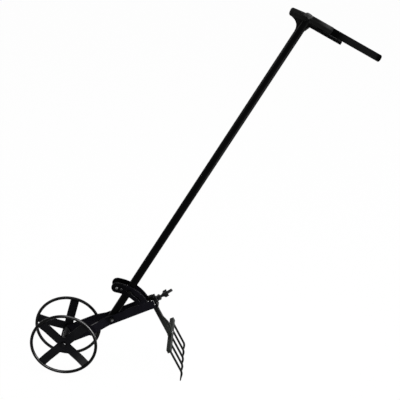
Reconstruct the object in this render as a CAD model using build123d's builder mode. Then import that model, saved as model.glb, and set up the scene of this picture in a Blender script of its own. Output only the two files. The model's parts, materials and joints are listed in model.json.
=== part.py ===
from build123d import *
import os
from math import asin, atan2, cos, degrees, radians, sin, tan

os.makedirs("parts", exist_ok=True)

# Wheels
wheel_diameter = 218
rim_bar = 10
rim_track = 120
wheel_dish = 4
spoke_width = 28
spoke_thickness = 5
spoke_flat = 74
spoke_turn_left = 43
spoke_turn_right = 75

# Axle
axle_diameter = 10
hub_diameter = 18
hub_overhang = 0.5
bush_wall = 1.5
bush_length = 10
axle_sleeve_diameter = 18
axle_sleeve_overhang = 1
thrust_washer_diameter = 18
rivet_diameter = 13
rivet_height = 3
rivet_rounding = 2.6

# Beam
beam_angle = 25
plate_height = 30
plate_thickness = 5
plate_front = 7
plate_tail = 7
plate_spread = 15.5
joggle_start = 108
joggle_end = 152
joggle_radius = 8
pivot_along = 170
pivot_rise = 3.6
socket_along = 314

# Quadrant
slot_radius = 116.5
quadrant_band = 35
slot_run_out = 10
bolt_pitch = 14.8
spacer_wall = 2
quadrant_bolt_diameter = 5
quadrant_head_flats = 8
quadrant_head_height = 3.5
quadrant_nut_height = 4

# Handle
shaft_angle = 59.87
shaft_diameter = 25.4
shaft_wall = 2
shaft_length = 1176
shaft_tail = 14
shaft_top = 11
shaft_cap_rounding = 3
tilt_up = 4.5
tilt_down = 14
pivot_bolt_diameter = 8
pivot_bush_wall = 2
pivot_head_flats = 13
pivot_head_height = 5.3
pivot_nut_height = 6.5
pivot_washer_diameter = 16
lock_bolt_diameter = 6
lock_head_flats = 10
lock_head_height = 4
lock_nut_height = 5
lock_washer_diameter = 13
bolt_tail = 3

# Crossbar
crossbar_droop = 29.4
sleeve_diameter = 23.6
arm_length = 248
sleeve_reach = 80
arm_tube_diameter = 19
arm_tube_wall = 2
grip_wall = 1.5
grip_rounding = 4
grip_end_wall = 5
brace_reach = 123
brace_width = 14
brace_thickness = 9.4
stub_droop = 22.7
stub_drop = 2
stub_diameter = 25
stub_wall = 2.5
stub_length = 56
gusset_radius = 33
gusset_toe = 12
gusset_thickness = 6
cap_length = 10
cap_rounding = 7
cap_spigot = 10

# Clamp
socket_height = 36
socket_depth = 26
clamp_rise = 4
clamp_lean = 10
screw_diameter = 10
weld_nut_flats = 17
weld_nut_height = 8
jam_nut_flats = 17
jam_nut_height = 8
jam_gap = 1.5
screw_reach = 63
wing_stand_off = 28
wing_hub_diameter = 14
wing_hub_length = 17
wing_span = 23
wing_thickness = 5
wing_turn = 35
wing_tip_low_share = 0.35
wing_tip_high_share = 1.05
wing_root_share = 0.9

# Fork
shank_width = 13.5
shank_top = 23
fork_drop = 136
fork_bar_width = 13
fork_bar_length = 198
tine_count = 5
tine_inset = 13
tine_diameter = 7.2
tine_bend = 35
tine_bend_radius = 26
tine_point = 23
tine_tip_diameter = 3.4
rib_leg = 70
rib_thickness = 6
rib_height = 8
rib_low_share = 0.35
rib_high_share = 0.6

# Clearances
running_clearance = 0.05
side_clearance = 0.3
shaft_side_clearance = 0.8
shank_clearance = 0.4
slot_clearance = 0.3
bolt_hole_clearance = 0.2
washer_thickness = 1.6
tube_gap = 1
stop_clearance = 1
edge_break = 1
plate_edge = 0.8
head_edge = 0.8

# Positions that follow from the sizes
wheel_radius = wheel_diameter / 2
rim_radius = wheel_radius - rim_bar / 2
beam_gap = shaft_diameter + 2 * shaft_side_clearance
plate_outer = beam_gap / 2 + plate_thickness
front_outer = plate_outer + plate_spread
beam_turn = radians(beam_angle)
shaft_turn = radians(shaft_angle)
grip_diameter = arm_tube_diameter + 2 * grip_wall
beam_x = cos(beam_turn)
beam_z = sin(beam_turn)
pivot_dx = pivot_along * beam_x - pivot_rise * beam_z
pivot_dz = pivot_along * beam_z + pivot_rise * beam_x
crossbar_dx = pivot_dx + shaft_length * cos(shaft_turn)
crossbar_dz = pivot_dz + shaft_length * sin(shaft_turn)
stub_dx = crossbar_dx - stub_drop * cos(shaft_turn)
stub_dz = crossbar_dz - stub_drop * sin(shaft_turn)
droop_turn = radians(crossbar_droop)
rear_reach = (
    crossbar_dx
    + (arm_length - grip_rounding) * cos(droop_turn)
    + (grip_diameter / 2 - grip_rounding) * sin(droop_turn)
    + grip_rounding
)
axle_x = (wheel_radius - rear_reach) / 2
axle_z = wheel_radius


def side_plane(x, z, angle):
    turn = radians(angle)
    return Plane(origin=(x, 0, z), x_dir=(cos(turn), 0, sin(turn)), z_dir=(0, -1, 0))


beam = side_plane(axle_x, axle_z, beam_angle)
shaft = side_plane(axle_x + pivot_dx, axle_z + pivot_dz, shaft_angle)
crossbar = side_plane(axle_x + crossbar_dx, axle_z + crossbar_dz, -crossbar_droop)
stub = side_plane(axle_x + stub_dx, axle_z + stub_dz, -stub_droop)
socket_centre = beam.from_local_coords(Vector(socket_along, 0, 0))
fork = side_plane(socket_centre.X, socket_centre.Z, beam_angle)
screw_seat = fork.from_local_coords(Vector(socket_depth / 2, clamp_rise, 0))
clamp = side_plane(screw_seat.X, screw_seat.Z, beam_angle + clamp_lean)


def at_y(plane, y, side=-1):
    origin = plane.origin + Vector(0, y, 0)
    return Plane(origin=origin, x_dir=plane.x_dir, z_dir=(0, side, 0))


def along(plane, distance, rise=0):
    origin = plane.from_local_coords(Vector(distance, rise, 0))
    return Plane(origin=origin, x_dir=(0, 1, 0), z_dir=plane.x_dir)


def up_from(plane, distance, rise):
    origin = plane.from_local_coords(Vector(distance, rise, 0))
    return Plane(origin=origin, x_dir=plane.x_dir, z_dir=plane.y_dir)


def moved(plane, distance, rise):
    origin = plane.from_local_coords(Vector(distance, rise, 0))
    return Plane(origin=origin, x_dir=plane.x_dir, z_dir=plane.z_dir)


def disc(plane, diameter):
    with BuildSketch(plane) as sketch:
        Circle(diameter / 2)
    return sketch.sketch


def ring(plane, outer, inner):
    with BuildSketch(plane) as sketch:
        Circle(outer / 2)
        Circle(inner / 2, mode=Mode.SUBTRACT)
    return sketch.sketch


def hexagon(plane, flats, bore):
    with BuildSketch(plane) as sketch:
        RegularPolygon(flats / 2, 6, major_radius=False)
        if bore:
            Circle(bore / 2, mode=Mode.SUBTRACT)
    return sketch.sketch


# Axle stack, outwards from the beam
sleeve_end = front_outer + axle_sleeve_overhang
inner_washer_end = sleeve_end + washer_thickness
hub_start = inner_washer_end + side_clearance
hub_plane = rim_track / 2 - wheel_dish
hub_end = hub_plane + spoke_thickness / 2 + hub_overhang
outer_washer_start = hub_end + side_clearance
rivet_start = outer_washer_start + washer_thickness
axle_hole = axle_diameter + bolt_hole_clearance
bush_bore = axle_diameter + 2 * running_clearance
bush_diameter = bush_bore + 2 * bush_wall
sides = (("left", -1, spoke_turn_left), ("right", 1, spoke_turn_right))

with BuildPart() as axle_sleeve:
    extrude(ring(at_y(beam, 0), axle_sleeve_diameter, axle_hole), amount=sleeve_end, both=True)
axle_sleeve.part.label = "axle_sleeve"
export_step(axle_sleeve.part, "parts/axle_sleeve.step")

with BuildPart() as axle_rod:
    extrude(disc(at_y(beam, 0), axle_diameter), amount=rivet_start, both=True)
    for name, side, turn in sides:
        extrude(disc(at_y(beam, side * rivet_start, side), rivet_diameter), amount=rivet_height)
    head_edges = axle_rod.edges().filter_by(GeomType.CIRCLE).sort_by(Axis.Y)
    fillet([head_edges[0], head_edges[-1]], rivet_rounding)
axle_rod.part.label = "axle_rod"
export_step(axle_rod.part, "parts/axle_rod.step")

with BuildPart() as axle_washers:
    for name, side, turn in sides:
        for start in (sleeve_end, outer_washer_start):
            face = at_y(beam, side * start, side)
            extrude(ring(face, thrust_washer_diameter, axle_hole), amount=washer_thickness)
axle_washers.part.label = "axle_washers"
export_step(axle_washers.part, "parts/axle_washers.step")

# Wheels: ring of round bar, dished cross of flat bar, hub tube on two bushes
for name, side, turn in sides:
    rim_centre = Vector(axle_x, side * rim_track / 2, axle_z)
    rim_section = Plane(origin=rim_centre, x_dir=(1, 0, 0), z_dir=(0, 0, 1))
    hub_face = at_y(beam, side * hub_start, side)
    with BuildPart() as wheel_rim:
        with BuildSketch(rim_section):
            with Locations((rim_radius, 0)):
                Circle(rim_bar / 2)
        revolve(axis=Axis(rim_centre, (0, 1, 0)))
    wheel_rim.part.label = f"wheel_rim_{name}"
    export_step(wheel_rim.part, f"parts/wheel_rim_{name}.step")

    with BuildPart() as wheel_spokes:
        for quarter in range(4):
            spoke_turn = radians(turn + 90 * quarter)
            spoke_plane = Plane(
                origin=(axle_x, side * hub_plane, axle_z),
                x_dir=(cos(spoke_turn), 0, sin(spoke_turn)),
                z_dir=(-side * sin(spoke_turn), 0, side * cos(spoke_turn)),
            )
            with BuildSketch(spoke_plane):
                Polygon(
                    (0, -spoke_thickness / 2),
                    (spoke_flat, -spoke_thickness / 2),
                    (rim_radius, wheel_dish - spoke_thickness / 2),
                    (rim_radius, wheel_dish + spoke_thickness / 2),
                    (spoke_flat, spoke_thickness / 2),
                    (0, spoke_thickness / 2),
                    align=None,
                )
            extrude(amount=spoke_width / 2, both=True)
        with BuildSketch(rim_section):
            with Locations((rim_radius, 0)):
                Circle(rim_bar / 2)
        revolve(axis=Axis(rim_centre, (0, 1, 0)), mode=Mode.SUBTRACT)
        extrude(disc(hub_face, hub_diameter), amount=hub_end - hub_start, mode=Mode.SUBTRACT)
    wheel_spokes.part.label = f"wheel_spokes_{name}"
    export_step(wheel_spokes.part, f"parts/wheel_spokes_{name}.step")

    with BuildPart() as wheel_hub:
        extrude(ring(hub_face, hub_diameter, bush_diameter), amount=hub_end - hub_start)
    wheel_hub.part.label = f"wheel_hub_{name}"
    export_step(wheel_hub.part, f"parts/wheel_hub_{name}.step")

    with BuildPart() as hub_bushes:
        for start in (hub_start, hub_end - bush_length):
            face = at_y(beam, side * start, side)
            extrude(ring(face, bush_diameter, bush_bore), amount=bush_length)
    hub_bushes.part.label = f"hub_bushes_{name}"
    export_step(hub_bushes.part, f"parts/hub_bushes_{name}.step")

# Beam and quadrant plates
pivot_hole = pivot_bolt_diameter + bolt_hole_clearance
lock_hole = lock_bolt_diameter + bolt_hole_clearance
quadrant_hole = quadrant_bolt_diameter + bolt_hole_clearance
spacer_diameter = quadrant_hole + 2 * spacer_wall
stop_reach = shaft_diameter / 2 + spacer_diameter / 2 + stop_clearance
shaft_rise = shaft_angle - beam_angle
stop_turn = radians(shaft_rise + tilt_up) + asin(stop_reach / slot_radius)
tip_turn = stop_turn + 2 * asin(bolt_pitch / 2 / slot_radius)
tip_x = slot_radius * cos(tip_turn)
tip_z = slot_radius * sin(tip_turn)
stop_x = slot_radius * cos(stop_turn)
stop_z = slot_radius * sin(stop_turn)
quadrant_outer = slot_radius + quadrant_band / 2
quadrant_inner = slot_radius - quadrant_band / 2
slot_width = lock_bolt_diameter + 2 * slot_clearance
slot_start = shaft_rise - tilt_down - slot_run_out
slot_span = tilt_up + tilt_down + slot_run_out + degrees(slot_clearance / slot_radius)
plate_end = socket_along + plate_tail
joggle_turn = atan2(plate_spread, joggle_end - joggle_start)
joggle_step = plate_thickness * tan(joggle_turn / 2)
pivot = moved(beam, pivot_along, pivot_rise)
tip_bolts = (("front", moved(pivot, tip_x, tip_z)), ("rear", moved(pivot, stop_x, stop_z)))

for name, side, turn in sides:
    inner_y = side * beam_gap / 2 if side < 0 else plate_outer
    with BuildPart() as beam_plate:
        with BuildSketch(up_from(beam, 0, -plate_height / 2)):
            with BuildLine():
                inner = side * beam_gap / 2
                outer = side * plate_outer
                shift = side * plate_spread
                inner_line = FilletPolyline(
                    (plate_front, inner + shift),
                    (joggle_start, inner + shift),
                    (joggle_end, inner),
                    (plate_end, inner),
                    radius=[joggle_radius, joggle_radius + plate_thickness],
                )
                outer_line = FilletPolyline(
                    (plate_front, outer + shift),
                    (joggle_start + joggle_step, outer + shift),
                    (joggle_end + joggle_step, outer),
                    (plate_end, outer),
                    radius=[joggle_radius + plate_thickness, joggle_radius],
                )
                Line(inner_line @ 0, outer_line @ 0)
                Line(inner_line @ 1, outer_line @ 1)
            make_face()
        extrude(amount=plate_height)
        extrude(disc(beam, axle_sleeve_diameter), amount=front_outer, both=True, mode=Mode.SUBTRACT)
        extrude(disc(pivot, pivot_hole), amount=front_outer, both=True, mode=Mode.SUBTRACT)
    beam_plate.part.label = f"beam_plate_{name}"
    export_step(beam_plate.part, f"parts/beam_plate_{name}.step")

    with BuildPart() as quadrant_plate:
        with BuildSketch(at_y(pivot, inner_y)):
            with BuildLine():
                foot = plate_height / 2 - pivot_rise
                inner_foot = asin(foot / quadrant_inner)
                outer_foot = asin(foot / quadrant_outer)
                inner_span = degrees(tip_turn - inner_foot)
                outer_span = degrees(tip_turn - outer_foot)
                inner_arc = CenterArc((0, 0), quadrant_inner, degrees(inner_foot), inner_span)
                outer_arc = CenterArc((0, 0), quadrant_outer, degrees(outer_foot), outer_span)
                Line(inner_arc @ 0, outer_arc @ 0)
                tip = (
                    tip_x - quadrant_band / 2 * sin(tip_turn),
                    tip_z + quadrant_band / 2 * cos(tip_turn),
                )
                ThreePointArc(inner_arc @ 1, tip, outer_arc @ 1)
            make_face()
            with Locations((tip_x, tip_z), (stop_x, stop_z)):
                Circle(quadrant_hole / 2, mode=Mode.SUBTRACT)
            with BuildLine():
                low_arc = CenterArc((0, 0), slot_radius - slot_width / 2, slot_start, slot_span)
                high_arc = CenterArc((0, 0), slot_radius + slot_width / 2, slot_start, slot_span)
                for end, lean in ((0, -1), (1, 1)):
                    slot_turn = radians(slot_start + end * slot_span)
                    reach = lean * slot_width / 2
                    tip = (
                        slot_radius * cos(slot_turn) - reach * sin(slot_turn),
                        slot_radius * sin(slot_turn) + reach * cos(slot_turn),
                    )
                    ThreePointArc(low_arc @ end, tip, high_arc @ end)
            make_face(mode=Mode.SUBTRACT)
        extrude(amount=plate_thickness)
        outer_face = quadrant_plate.faces().sort_by(Axis.Y)[-1 if side > 0 else 0]
        chamfer(outer_face.outer_wire().edges().filter_by(GeomType.CIRCLE), plate_edge)
    quadrant_plate.part.label = f"quadrant_plate_{name}"
    export_step(quadrant_plate.part, f"parts/quadrant_plate_{name}.step")

for name, spacer in tip_bolts:
    with BuildPart() as quadrant_spacer:
        extrude(ring(at_y(spacer, 0), spacer_diameter, quadrant_hole), amount=beam_gap / 2, both=True)
    quadrant_spacer.part.label = f"quadrant_spacer_{name}"
    export_step(quadrant_spacer.part, f"parts/quadrant_spacer_{name}.step")

    with BuildPart() as quadrant_bolt:
        head = at_y(spacer, -plate_outer)
        extrude(hexagon(head, quadrant_head_flats, 0), amount=quadrant_head_height)
        chamfer(quadrant_bolt.faces().sort_by(Axis.Y)[0].edges(), head_edge)
        length = 2 * plate_outer + quadrant_nut_height + bolt_tail
        extrude(disc(at_y(spacer, -plate_outer, 1), quadrant_bolt_diameter), amount=length)
    quadrant_bolt.part.label = f"quadrant_bolt_{name}"
    export_step(quadrant_bolt.part, f"parts/quadrant_bolt_{name}.step")

    with BuildPart() as quadrant_nut:
        face = at_y(spacer, plate_outer, 1)
        extrude(hexagon(face, quadrant_head_flats, quadrant_hole), amount=quadrant_nut_height)
        chamfer(quadrant_nut.faces().sort_by(Axis.Y)[-1].outer_wire().edges(), head_edge)
    quadrant_nut.part.label = f"quadrant_nut_{name}"
    export_step(quadrant_nut.part, f"parts/quadrant_nut_{name}.step")

pivot_face = plate_outer + washer_thickness
with BuildPart() as pivot_bolt:
    extrude(hexagon(at_y(pivot, -pivot_face), pivot_head_flats, 0), amount=pivot_head_height)
    chamfer(pivot_bolt.faces().sort_by(Axis.Y)[0].edges(), head_edge)
    length = 2 * pivot_face + pivot_nut_height + bolt_tail
    extrude(disc(at_y(pivot, -pivot_face, 1), pivot_bolt_diameter), amount=length)
pivot_bolt.part.label = "pivot_bolt"
export_step(pivot_bolt.part, "parts/pivot_bolt.step")

with BuildPart() as pivot_washers:
    for side in (-1, 1):
        face = at_y(pivot, side * plate_outer, side)
        extrude(ring(face, pivot_washer_diameter, pivot_hole), amount=washer_thickness)
pivot_washers.part.label = "pivot_washers"
export_step(pivot_washers.part, "parts/pivot_washers.step")

with BuildPart() as pivot_nut:
    face = at_y(pivot, pivot_face, 1)
    extrude(hexagon(face, pivot_head_flats, pivot_hole), amount=pivot_nut_height)
    chamfer(pivot_nut.faces().sort_by(Axis.Y)[-1].outer_wire().edges(), head_edge)
pivot_nut.part.label = "pivot_nut"
export_step(pivot_nut.part, "parts/pivot_nut.step")

# Tool socket between the plates' rear ends, and the nut welded on its back
socket_bore = shank_width + 2 * shank_clearance
screw_hole = screw_diameter + 2 * running_clearance
clamp_turn = radians(clamp_lean)
nut_seat = weld_nut_flats * tan(clamp_turn)

clamp_start = along(clamp, -socket_depth / 2)
with BuildPart() as tool_socket:
    with BuildSketch(up_from(fork, 0, -socket_height / 2)):
        Rectangle(socket_depth, beam_gap)
        Rectangle(socket_bore, socket_bore, mode=Mode.SUBTRACT)
    extrude(amount=socket_height)
    extrude(disc(clamp_start, screw_hole), amount=socket_depth, mode=Mode.SUBTRACT)
tool_socket.part.label = "tool_socket"
export_step(tool_socket.part, "parts/tool_socket.step")

with BuildPart() as weld_nut:
    face = along(clamp, -nut_seat)
    extrude(hexagon(face, weld_nut_flats, screw_hole), amount=nut_seat + weld_nut_height)
    back_face = weld_nut.faces().sort_by(Axis(clamp.origin, clamp.x_dir))[-1]
    chamfer(back_face.outer_wire().edges(), edge_break)
    with BuildSketch(up_from(fork, 0, -socket_height)):
        Rectangle(socket_depth, 2 * beam_gap)
    extrude(amount=2 * socket_height, mode=Mode.SUBTRACT)
weld_nut.part.label = "weld_nut"
export_step(weld_nut.part, "parts/weld_nut.step")

# Handle shaft and what turns with it on the pivot bolt
bush_hole = pivot_bolt_diameter + 2 * running_clearance
pivot_bush_diameter = bush_hole + 2 * pivot_bush_wall
shaft_bore = shaft_diameter - 2 * shaft_wall
shaft_end = shaft_length + shaft_top - cap_length
lock = moved(shaft, slot_radius, 0)
lock_face = plate_outer + side_clearance

with BuildPart() as handle_shaft:
    extrude(ring(along(shaft, -shaft_tail), shaft_diameter, shaft_bore), amount=shaft_tail + shaft_end)
    for centre, hole in ((shaft, pivot_bush_diameter), (lock, lock_hole)):
        extrude(disc(centre, hole), amount=shaft_diameter, both=True, mode=Mode.SUBTRACT)
handle_shaft.part.label = "handle_shaft"
export_step(handle_shaft.part, "parts/handle_shaft.step")

with BuildPart() as shaft_cap:
    extrude(disc(along(shaft, shaft_end), shaft_diameter), amount=cap_length)
    rim_edges = shaft_cap.edges().filter_by(GeomType.CIRCLE).sort_by(Axis(shaft.origin, shaft.x_dir))
    fillet(rim_edges[-1], shaft_cap_rounding)
    extrude(disc(along(shaft, shaft_end - cap_spigot), shaft_bore), amount=cap_spigot)
shaft_cap.part.label = "shaft_cap"
export_step(shaft_cap.part, "parts/shaft_cap.step")

with BuildPart() as pivot_bush:
    bush_half = beam_gap / 2 - side_clearance
    extrude(ring(shaft, pivot_bush_diameter, bush_hole), amount=bush_half, both=True)
pivot_bush.part.label = "pivot_bush"
export_step(pivot_bush.part, "parts/pivot_bush.step")

with BuildPart() as lock_washers:
    for side in (-1, 1):
        face = at_y(lock, side * lock_face, side)
        extrude(ring(face, lock_washer_diameter, lock_hole), amount=washer_thickness)
lock_washers.part.label = "lock_washers"
export_step(lock_washers.part, "parts/lock_washers.step")

lock_grip = lock_face + washer_thickness
with BuildPart() as lock_bolt:
    extrude(hexagon(at_y(lock, -lock_grip), lock_head_flats, 0), amount=lock_head_height)
    chamfer(lock_bolt.faces().sort_by(Axis.Y)[0].edges(), head_edge)
    length = 2 * lock_grip + lock_nut_height + bolt_tail
    extrude(disc(at_y(lock, -lock_grip, 1), lock_bolt_diameter), amount=length)
lock_bolt.part.label = "lock_bolt"
export_step(lock_bolt.part, "parts/lock_bolt.step")

with BuildPart() as lock_nut:
    extrude(hexagon(at_y(lock, lock_grip, 1), lock_head_flats, lock_hole), amount=lock_nut_height)
    chamfer(lock_nut.faces().sort_by(Axis.Y)[-1].outer_wire().edges(), head_edge)
lock_nut.part.label = "lock_nut"
export_step(lock_nut.part, "parts/lock_nut.step")

# Crossbar: a short stub and a long arm welded to the sides of the shaft's top
sleeve_bore = arm_tube_diameter + bolt_hole_clearance
stub_bore = stub_diameter - 2 * stub_wall
stub_end = stub_length - cap_length

with BuildPart() as stub_tube:
    extrude(ring(along(stub, -stub_end), stub_diameter, stub_bore), amount=stub_end)
    extrude(disc(along(shaft, 0), shaft_diameter), amount=2 * shaft_length, mode=Mode.SUBTRACT)
stub_tube.part.label = "stub_tube"
export_step(stub_tube.part, "parts/stub_tube.step")

with BuildPart() as stub_cap:
    extrude(disc(along(stub, -stub_length), stub_diameter), amount=cap_length)
    rim_edges = stub_cap.edges().filter_by(GeomType.CIRCLE).sort_by(Axis.X)
    fillet(rim_edges[0], cap_rounding)
    extrude(disc(along(stub, -stub_end), stub_bore), amount=cap_spigot)
stub_cap.part.label = "stub_cap"
export_step(stub_cap.part, "parts/stub_cap.step")

with BuildPart() as arm_sleeve:
    extrude(ring(along(crossbar, 0), sleeve_diameter, sleeve_bore), amount=sleeve_reach)
    extrude(disc(along(shaft, 0), shaft_diameter), amount=2 * shaft_length, mode=Mode.SUBTRACT)
arm_sleeve.part.label = "arm_sleeve"
export_step(arm_sleeve.part, "parts/arm_sleeve.step")

with BuildPart() as arm_tube:
    tube_start = shaft_diameter / 2 + tube_gap
    tube_length = arm_length - grip_end_wall - tube_start
    tube_bore = arm_tube_diameter - 2 * arm_tube_wall
    extrude(ring(along(crossbar, tube_start), arm_tube_diameter, tube_bore), amount=tube_length)
arm_tube.part.label = "arm_tube"
export_step(arm_tube.part, "parts/arm_tube.step")

with BuildPart() as hand_grip:
    extrude(disc(along(crossbar, sleeve_reach), grip_diameter), amount=arm_length - sleeve_reach)
    end_edges = hand_grip.edges().filter_by(GeomType.CIRCLE).sort_by(Axis.X)
    fillet(end_edges[-1], grip_rounding)
    bore_depth = arm_length - grip_end_wall - sleeve_reach
    extrude(
        disc(along(crossbar, sleeve_reach), arm_tube_diameter),
        amount=bore_depth,
        mode=Mode.SUBTRACT,
    )
hand_grip.part.label = "hand_grip"
export_step(hand_grip.part, "parts/hand_grip.step")

with BuildPart() as arm_brace:
    with BuildSketch(at_y(crossbar, brace_width / 2)):
        with Locations((0, -sleeve_diameter / 2)):
            Rectangle(brace_reach, brace_thickness, align=(Align.MIN, Align.MAX))
    extrude(amount=brace_width)
    extrude(disc(along(shaft, 0), shaft_diameter), amount=2 * shaft_length, mode=Mode.SUBTRACT)
arm_brace.part.label = "arm_brace"
export_step(arm_brace.part, "parts/arm_brace.step")

with BuildPart() as stub_gusset:
    with BuildSketch(at_y(stub, gusset_thickness / 2)):
        lean = radians(shaft_angle + stub_droop)
        reach = gusset_radius + shaft_diameter / 2
        centre_z = -stub_diameter / 2 - gusset_radius
        centre_x = (centre_z * cos(lean) - reach) / sin(lean)
        shaft_middle = (centre_x + reach * sin(lean), centre_z - reach * cos(lean))
        with BuildLine():
            hollow_span = 180 - degrees(lean) - gusset_toe
            hollow = CenterArc((centre_x, centre_z), gusset_radius, degrees(lean) - 90, hollow_span)
            toe_x = centre_x + gusset_radius * sin(radians(gusset_toe))
            Polyline(hollow @ 0, shaft_middle, (0, 0), (toe_x, 0), hollow @ 1)
        make_face()
    extrude(amount=gusset_thickness)
    extrude(disc(along(shaft, 0), shaft_diameter), amount=2 * shaft_length, mode=Mode.SUBTRACT)
    extrude(disc(along(stub, 0), stub_diameter), amount=stub_length, both=True, mode=Mode.SUBTRACT)
stub_gusset.part.label = "stub_gusset"
export_step(stub_gusset.part, "parts/stub_gusset.step")

# Clamp screw through the welded nut, with a jam nut and a wing head
shank_gap = (socket_depth - shank_width) / 2 - side_clearance
tip_reach = (shank_gap - screw_diameter / 2 * sin(clamp_turn)) / cos(clamp_turn)
jam_start = weld_nut_height + jam_gap

with BuildPart() as clamp_screw:
    extrude(disc(along(clamp, -tip_reach), screw_diameter), amount=tip_reach + screw_reach)
    chamfer(clamp_screw.edges().filter_by(GeomType.CIRCLE), edge_break)
clamp_screw.part.label = "clamp_screw"
export_step(clamp_screw.part, "parts/clamp_screw.step")

with BuildPart() as jam_nut:
    extrude(hexagon(along(clamp, jam_start), jam_nut_flats, screw_hole), amount=jam_nut_height)
    for end in (0, -1):
        jam_face = jam_nut.faces().sort_by(Axis(clamp.origin, clamp.x_dir))[end]
        chamfer(jam_face.outer_wire().edges(), head_edge)
jam_nut.part.label = "jam_nut"
export_step(jam_nut.part, "parts/jam_nut.step")

with BuildPart() as wing_head:
    face = along(clamp, wing_stand_off)
    wing_normal = clamp.z_dir * cos(radians(wing_turn)) + clamp.y_dir * sin(radians(wing_turn))
    wing_plane = Plane(origin=face.origin, x_dir=clamp.x_dir, z_dir=wing_normal)
    extrude(disc(face, wing_hub_diameter), amount=wing_hub_length)
    with BuildSketch(wing_plane):
        for flank in (-1, 1):
            Polygon(
                (0, flank * wing_hub_diameter / 4),
                (wing_hub_length * wing_tip_low_share, flank * wing_span / 2),
                (wing_hub_length * wing_tip_high_share, flank * wing_span / 2),
                (wing_hub_length * wing_root_share, flank * wing_hub_diameter / 4),
                align=None,
            )
    extrude(amount=wing_thickness / 2, both=True)
    extrude(disc(face, screw_hole), amount=2 * wing_hub_length, mode=Mode.SUBTRACT)
wing_head.part.label = "wing_head"
export_step(wing_head.part, "parts/wing_head.step")

# Fork: square shank, cross bar and bent tines
bar_top = -fork_drop + fork_bar_width / 2
bar_bottom = -fork_drop - fork_bar_width / 2
tine_turn = radians(tine_bend)
tip_radius = tine_tip_diameter / 2
tip_lean = radians(tine_bend - beam_angle)
tip_x = -tine_bend_radius * (1 - cos(tine_turn)) - tine_point * sin(tine_turn)
tip_fall = tine_bend_radius * sin(tine_turn) + tine_point * cos(tine_turn)
tip_height = tip_radius * abs(sin(tip_lean))
straight_end = (tip_height - fork.origin.Z - tip_x * beam_z) / beam_x + tip_fall

with BuildPart() as fork_shank:
    with BuildSketch(up_from(fork, 0, bar_top)):
        Rectangle(shank_width, shank_width)
    extrude(amount=shank_top - bar_top)
    top_face = fork_shank.faces().sort_by(Axis(fork.origin, fork.y_dir))[-1]
    chamfer(top_face.edges(), edge_break)
fork_shank.part.label = "fork_shank"
export_step(fork_shank.part, "parts/fork_shank.step")

tine_spacing = (fork_bar_length - 2 * tine_inset) / (tine_count - 1)
tine_ys = [(index - (tine_count - 1) / 2) * tine_spacing for index in range(tine_count)]

with BuildPart() as fork_bar:
    with BuildSketch(up_from(fork, 0, bar_bottom)):
        Rectangle(fork_bar_width, fork_bar_length)
        with Locations([(0, y) for y in tine_ys]):
            Circle(tine_diameter / 2, mode=Mode.SUBTRACT)
    extrude(amount=fork_bar_width)
fork_bar.part.label = "fork_bar"
export_step(fork_bar.part, "parts/fork_bar.step")

with BuildPart() as fork_rib:
    with BuildSketch(at_y(fork, rib_thickness / 2)):
        Polygon(
            (shank_width / 2, bar_top),
            (shank_width / 2 + rib_height, bar_top + rib_leg * rib_low_share),
            (shank_width / 2 + rib_height, bar_top + rib_leg * rib_high_share),
            (shank_width / 2, bar_top + rib_leg),
            align=None,
        )
    extrude(amount=rib_thickness)
fork_rib.part.label = "fork_rib"
export_step(fork_rib.part, "parts/fork_rib.step")

for index, y in enumerate(tine_ys):
    with BuildPart() as tine:
        with BuildLine(at_y(fork, y)) as tine_line:
            Line((0, bar_top), (0, straight_end))
            CenterArc((-tine_bend_radius, straight_end), tine_bend_radius, 0, -tine_bend)
        tine_path = tine_line.line
        with BuildSketch(Plane(origin=tine_path @ 0, z_dir=tine_path % 0)):
            Circle(tine_diameter / 2)
        sweep(path=tine_path)
        with BuildSketch(Plane(origin=tine_path @ 1, z_dir=tine_path % 1)):
            Circle(tine_diameter / 2)
        point_slope = atan2(tine_diameter / 2 - tip_radius, tine_point)
        extrude(amount=tine_point, taper=degrees(point_slope))
    tine.part.label = f"tine_{index + 1}"
    export_step(tine.part, f"parts/tine_{index + 1}.step")
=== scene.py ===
import json
import math
import random
import bpy
from mathutils import Matrix, Quaternion, Vector


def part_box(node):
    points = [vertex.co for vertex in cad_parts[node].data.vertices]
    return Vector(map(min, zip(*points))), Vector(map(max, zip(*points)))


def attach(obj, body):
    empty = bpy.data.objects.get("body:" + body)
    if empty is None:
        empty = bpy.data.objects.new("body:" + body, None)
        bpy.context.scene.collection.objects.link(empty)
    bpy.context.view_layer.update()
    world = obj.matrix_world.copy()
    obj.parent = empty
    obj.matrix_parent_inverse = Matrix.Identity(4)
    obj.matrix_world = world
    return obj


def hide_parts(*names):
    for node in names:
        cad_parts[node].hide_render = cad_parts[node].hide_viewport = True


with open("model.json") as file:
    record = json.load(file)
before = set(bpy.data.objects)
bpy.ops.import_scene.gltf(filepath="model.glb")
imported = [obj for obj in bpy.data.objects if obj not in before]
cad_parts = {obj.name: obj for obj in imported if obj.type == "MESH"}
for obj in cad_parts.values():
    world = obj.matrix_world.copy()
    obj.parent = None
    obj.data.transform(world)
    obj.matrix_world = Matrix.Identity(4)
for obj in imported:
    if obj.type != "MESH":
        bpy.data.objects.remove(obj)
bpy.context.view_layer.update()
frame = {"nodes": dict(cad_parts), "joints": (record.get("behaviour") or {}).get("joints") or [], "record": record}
nodes = frame["nodes"]
joints = {joint["name"]: joint for joint in frame["joints"]}
print("frame loaded:", len(nodes), "nodes")

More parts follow.
